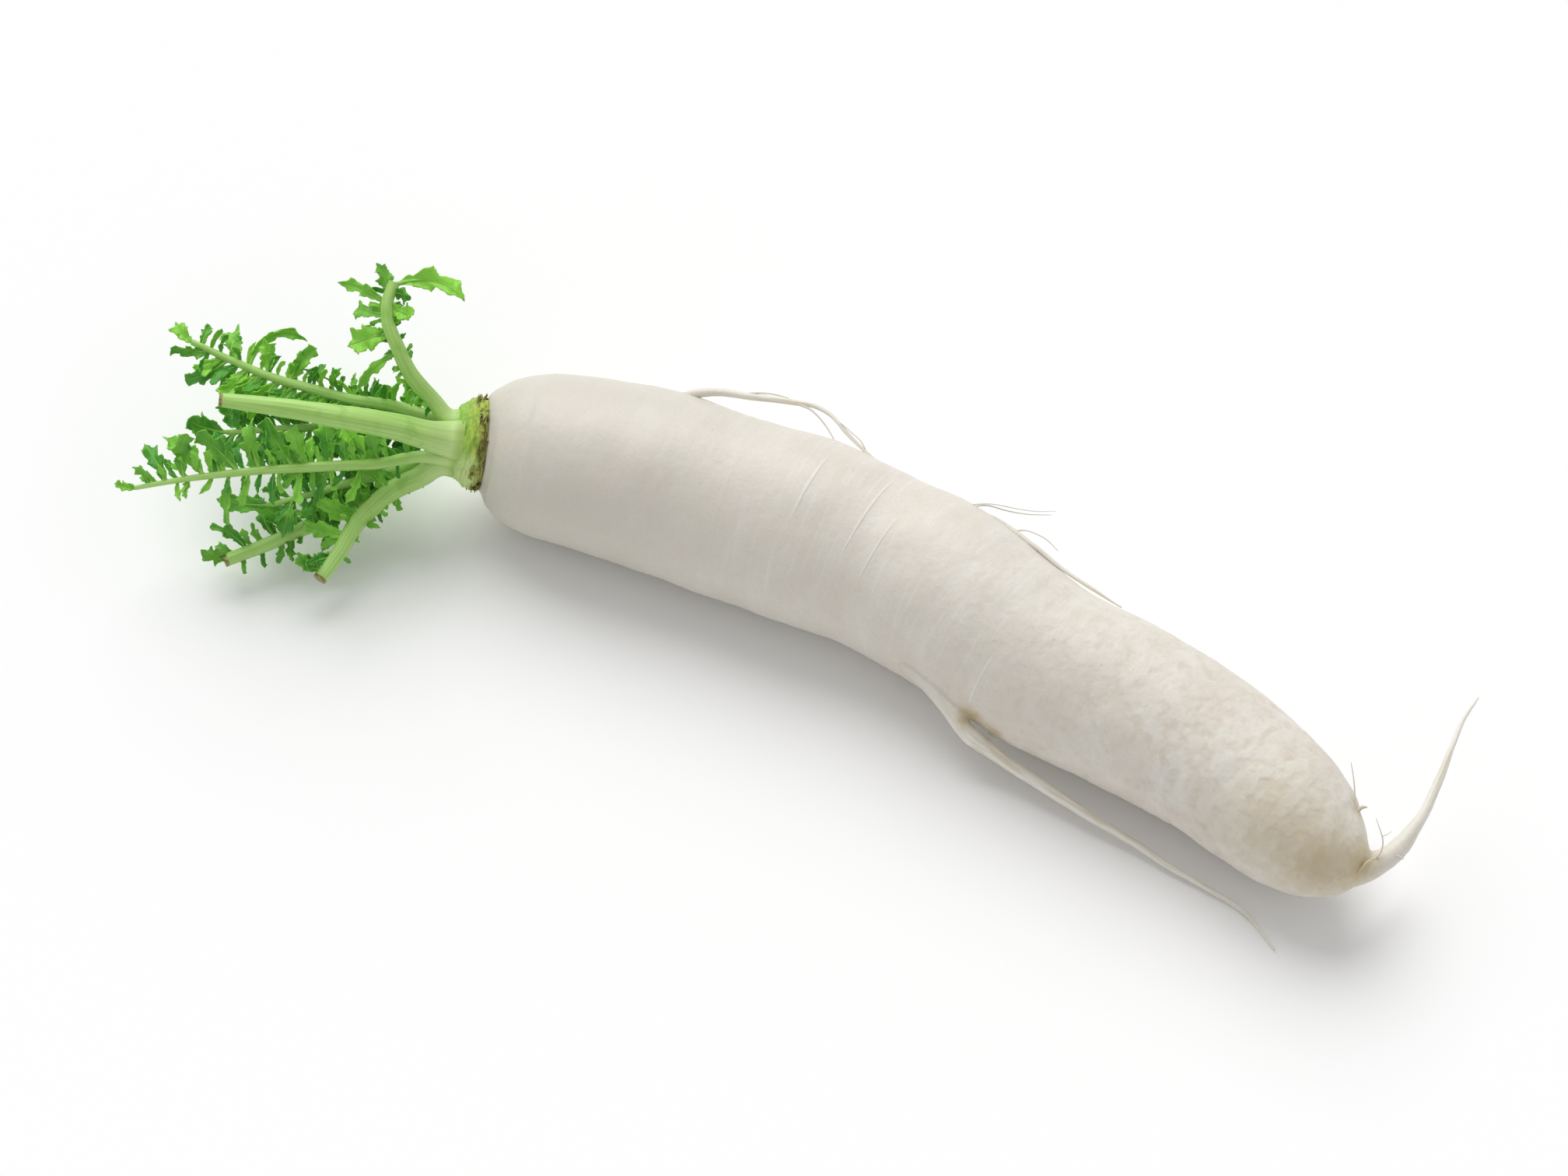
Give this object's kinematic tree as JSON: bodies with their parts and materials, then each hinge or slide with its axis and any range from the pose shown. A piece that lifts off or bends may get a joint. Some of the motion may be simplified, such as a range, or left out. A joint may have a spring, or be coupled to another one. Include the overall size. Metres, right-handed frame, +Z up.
{
  "type": "daikon radish",
  "caption": "Long white winter radish lying on its side, gently bent, with a thin tail root, fine side roots and a short bunch of trimmed green leaves.",
  "frame": {"origin": "on the ground, on the flat spot that the root rests on, under the middle of its length", "axes": "+X along the root from the leaves to the tail, +Z up"},
  "size_m": [0.4641, 0.1585, 0.0849],
  "materials": {
    "root_skin": "thin moist skin, creamy white, soft sheen, with faint rings across it, small scars and yellowish stains towards the tail",
    "crown": "olive green stem end with brown papery leaf scars where it meets the root",
    "leaf_stalk": "pale green ribbed leaf stalk, satin, with a dry brown cut end",
    "leaf": "fresh green lobed leaflets on paler stalks, satin"
  },
  "bodies": {
    "root": {"root": "root_skin", "crown": "crown", "leaf_arched": "leaf", "leaf_upper": "leaf", "leaf_cut_thick": "leaf_stalk", "leaf_long": "leaf", "leaf_front": "leaf", "leaf_low": "leaf", "leaf_middle": "leaf", "leaf_inner": "leaf"}
  },
  "joints": []
}
